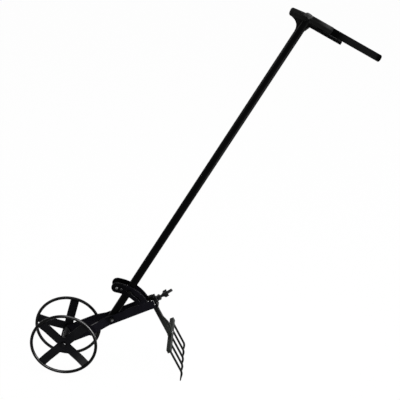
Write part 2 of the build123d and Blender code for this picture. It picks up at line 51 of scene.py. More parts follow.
# The part's own sizes, in millimetres and degrees
beam = {"turn": 25, "socket": 314, "socketHalf": 13}
clamp = {"rise": 4, "lean": 10}
wheel = {"rimPlane": 60, "spokePlane": 56, "spokeHalf": 2.5, "spokeWidth": 28, "hubRadius": 9,
         "turn": {"left": 43, "right": 75}}
handle = {"turn": 59.87, "top": 1176, "droop": -29.4, "shaftRadius": 12.7, "sleeveRadius": 11.8,
          "stubTop": 1174, "stubDroop": -22.7, "stubRadius": 12.5, "braceDepth": 9.4}
fork = {"barHalf": 6.5, "drop": 136, "shankHalf": 6.75, "tineRadius": 3.6, "tineGap": 43, "tines": 5,
        "ribHalf": 3, "ribLeg": 70}
axleSpot = Vector(joints["wheel_left_spin"]["pos_m"])
axleSpot.y = 0
pivotSpot = Vector(joints["handle_tilt"]["pos_m"])
pivotSpot.y = 0


def sideFrame(origin, degrees):  # turns millimetres along, up and across into a place on the object
    turned = math.radians(degrees)
    ahead = Vector((math.cos(turned), 0, math.sin(turned)))
    above = Vector((-math.sin(turned), 0, math.cos(turned)))

    def place(along, rise, across):
        return origin + (ahead * along + above * rise) / 1000 + Vector((0, across / 1000, 0))
    return place


onBeam = sideFrame(axleSpot, beam["turn"])
onShaft = sideFrame(pivotSpot, handle["turn"])
onArm = sideFrame(onShaft(handle["top"], 0, 0), handle["droop"])
onStub = sideFrame(onShaft(handle["stubTop"], 0, 0), handle["stubDroop"])
clampFoot = onBeam(beam["socket"] + beam["socketHalf"], clamp["rise"], 0)
onClamp = sideFrame(clampFoot, beam["turn"] + clamp["lean"])
onWheel = sideFrame(axleSpot, 0)
onFork = sideFrame(onBeam(beam["socket"], 0, 0), beam["turn"])
upwards = (0, 0, 1)
armUpwards = onArm(0, 1000, 0) - onArm(0, 0, 0)  # a metre long, so a unit vector


class Wire:  # a shader socket that takes part in Python expressions
    def __init__(self, tree, socket=None):
        self.tree, self.socket = tree, socket

    def make(self, kind, settings=None, inputs=None, output=0):
        node = self.tree.nodes.new("ShaderNode" + kind)
        for key, value in (settings or {}).items():
            setattr(node, key, value)
        for key, value in (inputs or {}).items():
            if isinstance(value, Wire):
                self.tree.links.new(value.socket, node.inputs[key])
            else:
                node.inputs[key].default_value = value
        return Wire(self.tree, node.outputs[output])

    def maths(self, operation, first, second):
        return self.make("Math", {"operation": operation}, {0: first, 1: second})

    def __add__(self, other): return self.maths("ADD", self, other)
    def __radd__(self, other): return self.maths("ADD", other, self)
    def __sub__(self, other): return self.maths("SUBTRACT", self, other)
    def __rsub__(self, other): return self.maths("SUBTRACT", other, self)
    def __mul__(self, other): return self.maths("MULTIPLY", self, other)
    def __rmul__(self, other): return self.maths("MULTIPLY", other, self)

    def between(self, low, high):  # 0 below low, 1 above high, smooth in between
        return self.make("MapRange", {"interpolation_type": "SMOOTHSTEP"},
                         {"Value": self, "From Min": low, "From Max": high})

    def swing(self, share):  # how far a noise is from its middle value, times share
        return share * (self - 0.5)

    def tint(self, dark, light):  # this value blends two colours
        dark = dark if isinstance(dark, Wire) else (*dark, 1)
        light = light if isinstance(light, Wire) else (*light, 1)
        return self.make("Mix", {"data_type": "RGBA"}, {0: self, 6: dark, 7: light}, 2)


def startFinish(name):
    material = bpy.data.materials.new(name)
    material.use_nodes = True
    return material, Wire(material.node_tree), material.node_tree.nodes["Principled BSDF"]


def join(wires, shader, socket, value):
    wires.tree.links.new(value.socket, shader.inputs[socket])


def objectPlace(wires):
    return wires.make("TexCoord", output="Object")


def vectorMaths(wires, operation, first, second, output=0):
    return wires.make("VectorMath", {"operation": operation}, {0: first, 1: second}, output)


def noise(wires, scale, detail, roughness=0.5):
    return wires.make("TexNoise", None, {"Vector": objectPlace(wires), "Scale": scale, "Detail": detail,
                                         "Roughness": roughness})


def roundedNormal(wires, radius):
    return wires.make("Bevel", {"samples": 6}, {"Radius": radius})


def edgeMask(wires, radius, low, high):  # 1 along sharp edges
    rounded = roundedNormal(wires, radius)
    flat = wires.make("NewGeometry", output="Normal")
    turn = vectorMaths(wires, "DOT_PRODUCT", rounded, flat, "Value")
    return (1 - turn).between(low, high), rounded


def distanceAlong(wires, start, end):  # 0 at start, 1 at end
    offset = vectorMaths(wires, "SUBTRACT", objectPlace(wires), start)
    run = end - start
    return vectorMaths(wires, "DOT_PRODUCT", offset, run / run.length_squared, "Value")


def distanceFromAxle(wires):
    flat = vectorMaths(wires, "MULTIPLY", objectPlace(wires), (1, 0, 1))
    return vectorMaths(wires, "DISTANCE", flat, axleSpot, "Value")


def facing(wires, heading, bevel=0.0):  # how far a surface of the piece looks towards heading
    normal = wires.make("TexCoord", output="Normal")
    if bevel:
        toObject = {"vector_type": "NORMAL", "convert_from": "WORLD", "convert_to": "OBJECT"}
        normal = wires.make("VectorTransform", toObject, {"Vector": roundedNormal(wires, bevel)})
    return vectorMaths(wires, "DOT_PRODUCT", normal, heading, "Value")


# run and across are in millimetres, front and back are places from the axle in millimetres.
# Other lengths are in metres, and other pairs are the ends of a smooth step
# the painted highlight on the top of the arm's sleeve
sleeveTopHighlight = {"run": (0, 80), "grow": (0.3, 0.85), "fade": (0.85, 1.0), "fadeShare": 0.7,
             "upward": (0.1, 0.9)}
# the painted light on the outer ends of the spokes
spokeEndLight = {"front": (-80, 80), "back": (80, -80), "grow": (0.45, 0.95), "fromAxle": (0.04, 0.1)}
# the painted highlight on the top of the stub
stubTopHighlight = {"run": (-30, 0), "grow": (0.2, 1.0), "upward": (0.3, 0.9)}
quadrantFoot = {"run": (235, 300), "grow": (0.1, 1.0)}
shankFoot = {"run": (-20, -130), "grow": (0.15, 0.95)}
plateTop = {"bevel": 0.0011, "upward": (0.15, 0.6)}
# the painted highlight on a stretch of the left plate's upper edge
plateEdgeHighlight = {"run": (100, 131), "start": (0.0, 0.25), "stop": (0.75, 1.0), "across": (-20, -26)}
# where the rim's painted highlight coat lies
rimHighlightSide = {"heading": (0.48, -0.65, 0.59), "within": (0.80, 0.96), "share": 0.55}
# where the rivet's painted glint coat lies
rivetGlintCrown = {"heading": (0.50, -0.60, 0.62), "within": (0.82, 0.93)}
# where the painted glint on the pivot bolt's head lies
boltGlintSpot = {"rearwards": 0.003, "down": 0.003, "radius": (0.001, 0.0065)}


def paintedSleeveHighlight(wires):  # painted highlight on the top of the arm's sleeve, towards the grip
    start, end = sleeveTopHighlight["run"]
    run = distanceAlong(wires, onArm(start, 0, 0), onArm(end, 0, 0))
    kept = 1 - sleeveTopHighlight["fadeShare"] * run.between(*sleeveTopHighlight["fade"])
    return run.between(*sleeveTopHighlight["grow"]) * kept * facing(wires, armUpwards).between(*sleeveTopHighlight["upward"])


def paintedLightSpokeEnds(wires):  # painted light on the outer ends of the spokes, most of all low down at the back
    back = distanceAlong(wires, onWheel(*spokeEndLight["front"], 0), onWheel(*spokeEndLight["back"], 0))
    return distanceFromAxle(wires).between(*spokeEndLight["fromAxle"]) * back.between(*spokeEndLight["grow"])


def paintedStubHighlight(wires):  # painted highlight on the top of the stub, beside the shaft
    start, end = stubTopHighlight["run"]
    run = distanceAlong(wires, onStub(start, 0, 0), onStub(end, 0, 0))
    return run.between(*stubTopHighlight["grow"]) * facing(wires, upwards).between(*stubTopHighlight["upward"])


def paleQuadrant(wires):  # the quadrant's lower end, on the beam
    start, end = quadrantFoot["run"]
    return distanceAlong(wires, onBeam(start, 0, 0), onBeam(end, 0, 0)).between(*quadrantFoot["grow"])


def paleShankFoot(wires):  # the shank, lighter down towards the bar
    start, end = shankFoot["run"]
    return distanceAlong(wires, onFork(0, start, 0), onFork(0, end, 0)).between(*shankFoot["grow"])


def upperEdge(wires):  # painted shade on the narrow upper edges of plates and spokes; also picks the edge for the plate's painted highlight
    return facing(wires, upwards, plateTop["bevel"]).between(*plateTop["upward"])


def paintedEdgeHighlight(wires):  # painted highlight on a stretch of the left plate's upper edge, at its bend
    start, end = plateEdgeHighlight["run"]
    run = distanceAlong(wires, onBeam(start, 0, 0), onBeam(end, 0, 0))
    inner, outer = plateEdgeHighlight["across"]
    left = distanceAlong(wires, onBeam(0, 0, inner), onBeam(0, 0, outer)).between(0, 1)
    stretch = run.between(*plateEdgeHighlight["start"]) * (1 - run.between(*plateEdgeHighlight["stop"]))
    return stretch * left * upperEdge(wires)


def rimHighlightCoat(wires):  # painted highlight: a coat only on the part of the rim that faces the heading, on its outer side
    return rimHighlightSide["share"] * facing(wires, rimHighlightSide["heading"]).between(*rimHighlightSide["within"])


def rivetGlintCoat(wires):  # painted glint: a coat on the crown of the near rivet, towards its upper rear side
    return facing(wires, rivetGlintCrown["heading"]).between(*rivetGlintCrown["within"])


def paintedBoltGlint(wires):  # painted glint: a light patch on the pivot bolt's head
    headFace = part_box("pivot_bolt")[0].y
    centre = Vector((pivotSpot.x + boltGlintSpot["rearwards"], headFace, pivotSpot.z - boltGlintSpot["down"]))
    away = vectorMaths(wires, "DISTANCE", objectPlace(wires), centre, "Value")
    return 1 - away.between(*boltGlintSpot["radius"])


paint = {
    "black": ((0.0006, 0.0006, 0.0007), (0.0015, 0.0015, 0.0016)),
    "plate": ((0.0036, 0.0034, 0.0051), (0.0060, 0.0056, 0.0082)),
    "quadrant": ((0.0009, 0.0009, 0.0012), (0.0019, 0.0019, 0.0024)),
    "spoke": ((0.0049, 0.0049, 0.0058), (0.0078, 0.0078, 0.0090)),
    # colour of the painted light on the spoke ends
    "spokeEndLight": (0.026, 0.026, 0.0267),
    "crossbar": ((0.0015, 0.0015, 0.0015), (0.0038, 0.0038, 0.0038)),
    # colour of the painted highlight on the top of the arm's sleeve
    "sleeveTopHighlight": (0.029, 0.029, 0.029),
    # the shaft cap's colour is a painted highlight, far lighter than the black paint
    "cap": ((0.015, 0.015, 0.015), (0.045, 0.045, 0.045)),
    # colour of the painted highlight on the top of the stub
    "stubTopHighlight": (0.057, 0.057, 0.057),
    "fork": ((0.0066, 0.0077, 0.0066), (0.0136, 0.0154, 0.0134)),
    "tine": ((0.0046, 0.0050, 0.0046), (0.0096, 0.0104, 0.0096)),
    "shank": ((0.0027, 0.0029, 0.0027), (0.0054, 0.0058, 0.0054)),
    "shankFoot": (0.016, 0.018, 0.016),
    "axle": ((0.0050, 0.0050, 0.0053), (0.0115, 0.0115, 0.0119)),
    "sleeve": ((0.0074, 0.0074, 0.0078), (0.017, 0.017, 0.0174)),
    # colour of the painted glint on the pivot bolt's head
    "boltGlint": (0.15, 0.15, 0.15),
    # colour of worn edges, also used for painted edge highlights
    "edgeWearAndHighlight": (0.074, 0.074, 0.0765),
}
# A noise is given by its scale, its detail and, where it isn't 0.5, its roughness
coating = {"cloudNoise": (16, 4), "gritNoise": (900, 2), "fineNoise": (260, 3), "chipNoise": (140, 4, 0.6),
           "chips": (0.42, 0.62), "cloud": (0.3, 0.7), "edgeRadius": 0.0011, "edge": (0.02, 0.22),
           "fineRough": 0.16, "cloudRough": 0.10, "liftLow": 0.6, "liftFine": 0.8, "fineBump": 0.5,
           "bumpDepth": 0.0004, "coatRough": 0.2, "coatBend": 2.0}


def paintFinish(name, colours, wear, gloss=0.30, peel=0.10, specular=0.014, lift=None, coat=None, shade=None):
    material, wires, shader = startFinish(name)
    cloud = noise(wires, *coating["cloudNoise"])
    grit = noise(wires, *coating["gritNoise"])
    fine = noise(wires, *coating["fineNoise"])
    chips = noise(wires, *coating["chipNoise"]).between(*coating["chips"])
    edge, rounded = edgeMask(wires, coating["edgeRadius"], *coating["edge"])
    base = cloud.between(*coating["cloud"]).tint(*colours)
    # shade darkens the colour where its mask is set: painted shade
    if shade:
        base = shade(wires).tint(base, paint["black"][0])
    if lift:
        mask, lighter = lift
        base = (mask(wires) * (coating["liftLow"] + coating["liftFine"] * fine)).tint(base, lighter)
    # edge chips take the edge colour: worn edges, and where wear is set high a painted edge highlight
    join(wires, shader, "Base Color", (edge * chips * wear).tint(base, paint["edgeWearAndHighlight"]))
    rough = gloss + fine.swing(coating["fineRough"]) + cloud.swing(coating["cloudRough"])
    join(wires, shader, "Roughness", rough)
    bump = wires.make("Bump", None, {"Height": grit + coating["fineBump"] * fine, "Strength": peel,
                                     "Distance": coating["bumpDepth"], "Normal": rounded})
    join(wires, shader, "Normal", bump)
    shader.inputs["Specular IOR Level"].default_value = specular
    if coat:
        join(wires, shader, "Coat Weight", coat(wires))
        shader.inputs["Coat Roughness"].default_value = coating["coatRough"]
        shader.inputs["Coat IOR"].default_value = coating["coatBend"]
    return material


paintJobs = {
    "blackPaint": {"colours": paint["black"], "wear": 0.35},
    # rimPaint carries the painted highlight coat on the rim
    "rimPaint": {"colours": paint["black"], "wear": 0.1, "gloss": 0.28, "peel": 0.06, "specular": 0.06,
                 "coat": rimHighlightCoat},
    "farRimPaint": {"colours": paint["black"], "wear": 0.1, "gloss": 0.28, "peel": 0.06, "specular": 0.10},
    # rivetPaint carries the painted glint on the rivet's crown
    "rivetPaint": {"colours": paint["spoke"], "wear": 0.0, "peel": 0.0, "specular": 0.03,
                   "coat": rivetGlintCoat},
    "shaftPaint": {"colours": paint["black"], "wear": 0.35, "gloss": 0.22, "peel": 0.06, "specular": 0.018},
    # stubPaint carries the painted highlight on the top of the stub
    "stubPaint": {"colours": paint["crossbar"], "wear": 0.3, "gloss": 0.5, "peel": 0.16, "specular": 0.03,
                  "lift": (paintedStubHighlight, paint["stubTopHighlight"])},
    # nutPaint carries the painted glint on the pivot bolt's head
    "nutPaint": {"colours": paint["black"], "wear": 0.2, "peel": 0.06, "specular": 0.06,
                 "lift": (paintedBoltGlint, paint["boltGlint"])},
    # platePaint: painted shade on the upper edges, and a painted highlight on one stretch at the bend
    "platePaint": {"colours": paint["plate"], "wear": 0.0, "gloss": 0.42, "specular": 0.012,
                   "lift": (paintedEdgeHighlight, paint["edgeWearAndHighlight"]), "shade": upperEdge},
    # quadrantPaint: the high wear paints a highlight along the plate edges
    "quadrantPaint": {"colours": paint["quadrant"], "wear": 3.0, "gloss": 0.36, "specular": 0.012,
                      "lift": (paleQuadrant, paint["plate"][0])},
    # spokePaint: painted light on the spoke ends, and painted shade on their upper edges
    "spokePaint": {"colours": paint["spoke"], "wear": 0.0, "gloss": 0.45, "specular": 0.012,
                   "lift": (paintedLightSpokeEnds, paint["spokeEndLight"]), "shade": upperEdge},
    "crossbarPaint": {"colours": paint["crossbar"], "wear": 0.3, "gloss": 0.5, "peel": 0.16,
                      "specular": 0.03},
    # armPaint carries the painted highlight on the top of the sleeve
    "armPaint": {"colours": paint["crossbar"], "wear": 0.3, "gloss": 0.5, "peel": 0.16, "specular": 0.03,
                 "lift": (paintedSleeveHighlight, paint["sleeveTopHighlight"])},
    # the shaft cap's finish is a painted highlight
    "capHighlightPaint": {"colours": paint["cap"], "wear": 0.3, "gloss": 0.5, "peel": 0.16, "specular": 0.03},
    "sleevePaint": {"colours": paint["sleeve"], "wear": 0.5, "gloss": 0.34, "peel": 0.12, "specular": 0.1},
    "axlePaint": {"colours": paint["axle"], "wear": 0.2, "gloss": 0.34, "peel": 0.12, "specular": 0.06},
    "forkPaint": {"colours": paint["fork"], "wear": 0.5, "gloss": 0.42, "peel": 0.2, "specular": 0.03},
    "tinePaint": {"colours": paint["tine"], "wear": 0.5, "gloss": 0.36, "peel": 0.2, "specular": 0.03},
    "shankPaint": {"colours": paint["shank"], "wear": 0.3, "gloss": 0.42, "peel": 0.2, "specular": 0.03,
                   "lift": (paleShankFoot, paint["shankFoot"])},
}

steel = {
    "oxideSteel": ((0.013, 0.013, 0.014), (0.029, 0.029, 0.031)),
    "screwSteel": ((0.013, 0.013, 0.0135), (0.031, 0.031, 0.0315)),
    "lugSteel": ((0.006, 0.006, 0.0062), (0.016, 0.016, 0.0163)),
    "seamSteel": ((0.04, 0.04, 0.04), (0.09, 0.09, 0.09)),
    "darkSteel": ((0.003, 0.003, 0.003), (0.007, 0.007, 0.007)),
    "zincSteel": ((0.077, 0.077, 0.0785), (0.154, 0.154, 0.156)),
    "weldSteel": ((0.13, 0.13, 0.13), (0.37, 0.37, 0.37)),
}
bareMetal = {"patchNoise": (220, 5, 0.65), "patch": (0.3, 0.7), "fineNoise": (1500, 2), "edgeRadius": 0.0006,
             "edge": (0.02, 0.25), "edgeShare": 0.25, "rough": 0.36, "patchRough": 0.24, "fineRough": 0.12,
             "bump": 0.12, "bumpDepth": 0.0002}


def steelFinish(name, colours):
    material, wires, shader = startFinish(name)
    patch = noise(wires, *bareMetal["patchNoise"])
    fine = noise(wires, *bareMetal["fineNoise"])
    edge, rounded = edgeMask(wires, bareMetal["edgeRadius"], *bareMetal["edge"])
    blend = patch.between(*bareMetal["patch"]) + bareMetal["edgeShare"] * edge
    join(wires, shader, "Base Color", blend.tint(*colours))
    rough = bareMetal["rough"] + patch.swing(bareMetal["patchRough"]) + fine.swing(bareMetal["fineRough"])
    join(wires, shader, "Roughness", rough)
    bump = wires.make("Bump", None, {"Height": fine, "Strength": bareMetal["bump"],
                                     "Distance": bareMetal["bumpDepth"], "Normal": rounded})
    join(wires, shader, "Normal", bump)
    shader.inputs["Metallic"].default_value = 1.0
    return material


# the stretch from 88 to 150 mm along the arm is painted light on the grip; tip darkens its end again
rubber = {"dark": (0.0003, 0.0003, 0.0003), "light": (0.0044, 0.0044, 0.0046), "grainNoise": (1400, 3, 0.6),
          "cloudNoise": (30, 3), "cloudLow": 0.5, "gripLight": (88, 150), "tip": (226, 240), "rough": 0.5,
          "grainRough": 0.2, "bump": 0.25, "bumpDepth": 0.0003, "specular": 0.006}


def rubberFinish(name):
    material, wires, shader = startFinish(name)
    grain = noise(wires, *rubber["grainNoise"])
    cloud = noise(wires, *rubber["cloudNoise"])
    # painted light: the grip is lighter from its stretch on, and dark at the tip
    gripLight, tip = (distanceAlong(wires, onArm(start, 0, 0), onArm(end, 0, 0)).between(0, 1)
                 for start, end in (rubber["gripLight"], rubber["tip"]))
    blend = gripLight * (1 - tip) * (rubber["cloudLow"] + cloud)
    join(wires, shader, "Base Color", blend.tint(rubber["dark"], rubber["light"]))
    join(wires, shader, "Roughness", rubber["rough"] + grain.swing(rubber["grainRough"]))
    join(wires, shader, "Normal", wires.make("Bump", None, {"Height": grain, "Strength": rubber["bump"],
                                                            "Distance": rubber["bumpDepth"]}))
    shader.inputs["Specular IOR Level"].default_value = rubber["specular"]
    return material


bronze = {"dark": (0.30, 0.17, 0.07), "light": (0.44, 0.27, 0.12), "patchNoise": (300, 4, 0.6),
          "patch": (0.3, 0.7), "rough": 0.38, "patchRough": 0.2}


def bronzeFinish(name):
    material, wires, shader = startFinish(name)
    patch = noise(wires, *bronze["patchNoise"])
    join(wires, shader, "Base Color", patch.between(*bronze["patch"]).tint(bronze["dark"], bronze["light"]))
    join(wires, shader, "Roughness", bronze["rough"] + patch.swing(bronze["patchRough"]))
    shader.inputs["Metallic"].default_value = 1.0
    return material


finishes = {name: paintFinish(name, **job) for name, job in paintJobs.items()}
finishes.update({name: steelFinish(name, colours) for name, colours in steel.items()})
finishes["gripRubber"] = rubberFinish("gripRubber")
finishes["bushBronze"] = bronzeFinish("bushBronze")

finishOfSlot = {"black_paint": "blackPaint", "zinc_fastener": "oxideSteel", "tine_steel": "tinePaint",
                "bush_bronze": "bushBronze", "grip_rubber": "gripRubber"}
nodesOfFinish = {  # the nodes whose finish isn't their slot's own
    "platePaint": ("beam_plate_left", "beam_plate_right"),
    "quadrantPaint": ("quadrant_plate_left", "quadrant_plate_right"),
    "spokePaint": ("wheel_spokes_left", "wheel_spokes_right"),
    "rimPaint": ("wheel_rim_left",),
    "farRimPaint": ("wheel_rim_right",),
    "rivetPaint": ("axle_rod",),
    "axlePaint": ("axle_sleeve",),
    "shaftPaint": ("handle_shaft",),
    "capHighlightPaint": ("shaft_cap",),
    "stubPaint": ("stub_tube",),
    "crossbarPaint": ("stub_cap", "stub_gusset"),
    "armPaint": ("arm_sleeve",),
    "forkPaint": ("fork_bar",),
    "shankPaint": ("fork_shank", "fork_rib"),
    "nutPaint": ("pivot_bolt",),
    "zincSteel": ("quadrant_bolt_front", "quadrant_nut_front", "quadrant_spacer_front"),
    "screwSteel": ("quadrant_bolt_rear", "quadrant_nut_rear", "quadrant_spacer_rear", "clamp_screw"),
    "lugSteel": ("jam_nut", "wing_head"),
    "darkSteel": ("lock_bolt", "lock_nut", "lock_washers", "pivot_nut", "pivot_washers", "axle_washers"),
}
finishOfNode = {part["node"]: finishOfSlot[part["material_slot"]] for part in frame["record"]["subparts"]}
finishOfNode.update({node: name for name, group in nodesOfFinish.items() for node in group})
for name, piece in nodes.items():
    piece.data.materials.clear()
    piece.data.materials.append(finishes[finishOfNode[name]])
print("finishes given to the CAD pieces")

camera = {"place": (0.139766, -3.8128, 2.4521), "turn": 1.9958, "down": 25.803, "roll": 0.4314,
          "lens": 123.43, "sensor": 36}
turn, down, roll = (math.radians(camera[key]) for key in ("turn", "down", "roll"))
look = Vector((-math.sin(turn) * math.cos(down), math.cos(turn) * math.cos(down), -math.sin(down)))
right = Vector((math.cos(turn), math.sin(turn), 0))
up = right.cross(look)
right, up = right * math.cos(roll) + up * math.sin(roll), up * math.cos(roll) - right * math.sin(roll)
lens = bpy.data.cameras.new("photoCamera")
lens.lens, lens.sensor_width = camera["lens"], camera["sensor"]
viewer = bpy.data.objects.new("photoCamera", lens)
viewer.matrix_world = Matrix((right, up, -look)).transposed().to_4x4()
viewer.location = camera["place"]
bpy.context.scene.collection.objects.link(viewer)
bpy.context.scene.camera = viewer

studio = {
    "overhead": {"place": (-0.2, -0.3, 3.2), "aim": (0, 0, 0.3), "size": (2.2, 1.4), "power": 36},
    "sideLeft": {"place": (-2.2, 0.3, 1.75), "aim": (0.2, 0, 1.0), "size": (1.4, 0.9), "power": 26},
    "lowRight": {"place": (0.62, -0.26, 0.34), "aim": (-0.03, 0.02, 0.71), "size": (0.45, 0.7), "power": 6.8},
    "frontRight": {"place": (1.67, -0.95, 1.3), "aim": (-0.4, 0, 0.1), "size": (0.5, 2.2), "power": 34,
                   "roll": 30},
    "backRight": {"place": (1.9, 1.8, 2.2), "aim": (0, 0, 0.5), "size": (1.0, 1.6), "power": 16},
}
for name, lamp in studio.items():
    light = bpy.data.lights.new(name, "AREA")
    light.shape, light.energy = "RECTANGLE", lamp["power"]
    light.size, light.size_y = lamp["size"]
    holder = bpy.data.objects.new(name, light)
    holder.location = lamp["place"]
    aimed = (Vector(lamp["aim"]) - holder.location).to_track_quat("-Z", "Y")
    rolled = Quaternion((0, 0, 1), math.radians(lamp.get("roll", 0)))
    holder.rotation_euler = (aimed @ rolled).to_euler()
    holder.visible_camera = False
    bpy.context.scene.collection.objects.link(holder)

surround = {"light": 0.32, "white": 1.0, "floorShare": 0.975, "floorColour": (0.86, 0.86, 0.86, 1),
            "floorReach": 12}


def shownRays(wires):  # rays that should meet the white background
    path = wires.tree.nodes.new("ShaderNodeLightPath")
    rays = ("Is Camera Ray", "Is Glossy Ray", "Is Transmission Ray")
    seen, glossy, passing = (Wire(wires.tree, path.outputs[key]) for key in rays)
    return wires.maths("MINIMUM", seen + glossy + passing, 1.0)


world = bpy.data.worlds.new("studioSurround")
world.use_nodes = True
bpy.context.scene.world = world
wires = Wire(world.node_tree)
background = world.node_tree.nodes["Background"]
background.inputs["Color"].default_value = (1, 1, 1, 1)
rise = surround["white"] - surround["light"]
join(wires, background, "Strength", shownRays(wires) * rise + surround["light"])

floorMesh = bpy.data.meshes.new("floor")
reach = surround["floorReach"]
floorCorners = [(-reach, -reach, 0), (reach, -reach, 0), (reach, reach, 0), (-reach, reach, 0)]
floorMesh.from_pydata(floorCorners, [], [(0, 1, 2, 3)])
floor = bpy.data.objects.new("floor", floorMesh)
bpy.context.scene.collection.objects.link(floor)
floorFinish = bpy.data.materials.new("paleFloor")
floorFinish.use_nodes = True
tree = floorFinish.node_tree
wires = Wire(tree)
tree.nodes.remove(tree.nodes["Principled BSDF"])
matte = wires.make("BsdfDiffuse", None, {"Color": surround["floorColour"]})
bright = wires.make("Emission", None, {"Color": (1, 1, 1, 1), "Strength": surround["white"]})
mixed = wires.make("MixShader", None, {0: shownRays(wires) * surround["floorShare"], 1: matte, 2: bright})
tree.links.new(mixed.socket, tree.nodes["Material Output"].inputs["Surface"])
floorMesh.materials.append(floorFinish)
bpy.context.scene.view_settings.view_transform = "Standard"
print("camera, lamps and floor ready")

chance = random.Random(7)


def emptyStore():
    return {"spots": [], "faces": []}


def addRow(store, low, high, sides):  # joins two rings of points by a band of faces
    for side in range(sides):
        after = (side + 1) % sides
        store["faces"].append((low + side, low + after, high + after, high + side))


def addCaps(store, first, last, sides):
    store["faces"].append(tuple(first + side for side in reversed(range(sides))))
    store["faces"].append(tuple(last + side for side in range(sides)))


def newPiece(name, store, body, finish):
    mesh = bpy.data.meshes.new(name)
    mesh.from_pydata(store["spots"], [], store["faces"])
    mesh.polygons.foreach_set("use_smooth", [True] * len(mesh.polygons))
    mesh.materials.append(finishes[finish])
    mesh.validate()
    piece = bpy.data.objects.new(name, mesh)
    bpy.context.scene.collection.objects.link(piece)
    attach(piece, body)
    return piece


def evenly(path, step, closed):
    path = path + path[:1] if closed else path
    spots, carry = [], 0.0
    for start, end in zip(path, path[1:]):
        length = (end - start).length
        while carry < length:
            spots.append(start.lerp(end, carry / length))
            carry += step
        carry -= length
    return spots


bead = {"sides": 8, "step": 0.42, "ripple": 5, "swell": 0.16, "jitter": 0.05, "endSize": 0.45,
        "endGrowth": 0.3}


def addBead(store, path, radius, closed=False):  # a run of weld with its ripples
    radius, sides, ripple = radius / 1000, bead["sides"], bead["ripple"]
    spots = evenly(path, radius * bead["step"], closed)
    count, first = len(spots), len(store["spots"])
    normal = None
    for index, spot in enumerate(spots):
        ahead = spots[(index + 1) % count] if closed else spots[min(index + 1, count - 1)]
        behind = spots[index - 1] if closed or index else spots[0]
        heading = (ahead - behind).normalized()
        if normal is None:
            normal = heading.orthogonal()
        normal = (normal - heading * normal.dot(heading)).normalized()
        other = heading.cross(normal)
        jitter = chance.uniform(-bead["jitter"], bead["jitter"])
        swell = 1 + bead["swell"] * (index % ripple) / ripple + jitter
        if not closed:
            swell *= min(1.0, bead["endSize"] + bead["endGrowth"] * min(index, count - 1 - index))
        for side in range(sides):
            angle = 2 * math.pi * side / sides
            outwards = normal * math.cos(angle) + other * math.sin(angle)
            store["spots"].append(spot + outwards * radius * swell)
    for index in range(count if closed else count - 1):
        addRow(store, first + index * sides, first + (index + 1) % count * sides, sides)
    if not closed:
        addCaps(store, first, first + (count - 1) * sides, sides)


def ringPath(place, radius, start=0.0, span=360.0, steps=48):  # place takes two in-plane millimetre values
    turns = [math.radians(start + span * step / steps) for step in range(steps + (span < 360))]
    return [place(radius * math.cos(turned), radius * math.sin(turned)) for turned in turns]


socketWelds = {  # each run's ends: along the beam, up, and outwards from its middle
    "seam": {"store": "dullWelds", "ends": ((321, -5, 16.5), (321, 14, 16.5)), "radius": 1.6},
    "rearSpot": {"store": "bareWelds", "ends": ((321, -5, 18.9), (321, -0.5, 18.9)), "radius": 2.3},
    "upperSpot": {"store": "bareWelds", "ends": ((315, 13.5, 18.5), (319, 13.5, 18.5)), "radius": 1.4},
    "frontSpot": {"store": "bareWelds", "ends": ((304.5, 15.6, 18.5), (308.5, 15.6, 18.5)), "radius": 1.5},
    "underside": {"store": "frameWelds", "ends": ((302, -15.5, 14.1), (320, -15.5, 14.1)), "radius": 1.7},
}
axleWelds = {"ring": 9.7, "start": -52, "span": 104, "inner": {"across": 28.4, "radius": 1.8},
             "outer": {"across": 34.2, "radius": 0.9}}
nutWeld = {"stand": 0.3, "ring": 9.3, "radius": 1.3}
finishOfWelds = {"frameWelds": "blackPaint", "bareWelds": "weldSteel", "dullWelds": "seamSteel"}
stores = {name: emptyStore() for name in finishOfWelds}
for side in (-1, 1):
    for run in socketWelds.values():
        path = [onBeam(along, rise, side * across) for along, rise, across in run["ends"]]
        addBead(stores[run["store"]], path, run["radius"])
    for run in (axleWelds["inner"], axleWelds["outer"]):
        ring = ringPath(lambda along, rise: onBeam(along, rise, side * run["across"]), axleWelds["ring"],
                        axleWelds["start"], axleWelds["span"])
        addBead(stores["frameWelds"], ring, run["radius"])
nutFace = beam["socket"] + beam["socketHalf"] + nutWeld["stand"]
nutRing = ringPath(lambda rise, across: onBeam(nutFace, clamp["rise"] + rise, across), nutWeld["ring"])
addBead(stores["frameWelds"], nutRing, nutWeld["radius"], True)
for name, finish in finishOfWelds.items():
    newPiece(name, stores[name], "frame", finish)

wheelWelds = {"rimRing": 99.6, "rimSteps": 12, "rimInset": 0.2, "rimStand": 0.1, "rimRadius": 1.3,
              "hubStand": 0.4, "hubOuterRadius": 0.55, "hubInnerRadius": 1.4}
for name, side in (("left", -1), ("right", 1)):
    store = emptyStore()
    halfSpan = math.degrees(math.asin(wheel["spokeWidth"] / 2 / wheelWelds["rimRing"]))
    for quarter in range(4):
        middle = wheel["turn"][name] + 90 * quarter
        for face in (-1, 1):
            across = (side * (wheel["rimPlane"] - wheelWelds["rimInset"])
                      + face * (wheel["spokeHalf"] + wheelWelds["rimStand"]))
            arc = ringPath(lambda ahead, rise: onWheel(ahead, rise, across), wheelWelds["rimRing"],
                           middle - halfSpan, 2 * halfSpan, wheelWelds["rimSteps"])
            addBead(store, arc, wheelWelds["rimRadius"])
    for face in (-1, 1):
        across = side * wheel["spokePlane"] + face * wheel["spokeHalf"]
        ring = ringPath(lambda ahead, rise: onWheel(ahead, rise, across),
                        wheel["hubRadius"] + wheelWelds["hubStand"])
        addBead(store, ring, wheelWelds["hubOuterRadius" if face == side else "hubInnerRadius"], True)
    newPiece("wheelWelds" + name.capitalize(), store, "wheel_" + name, "blackPaint")

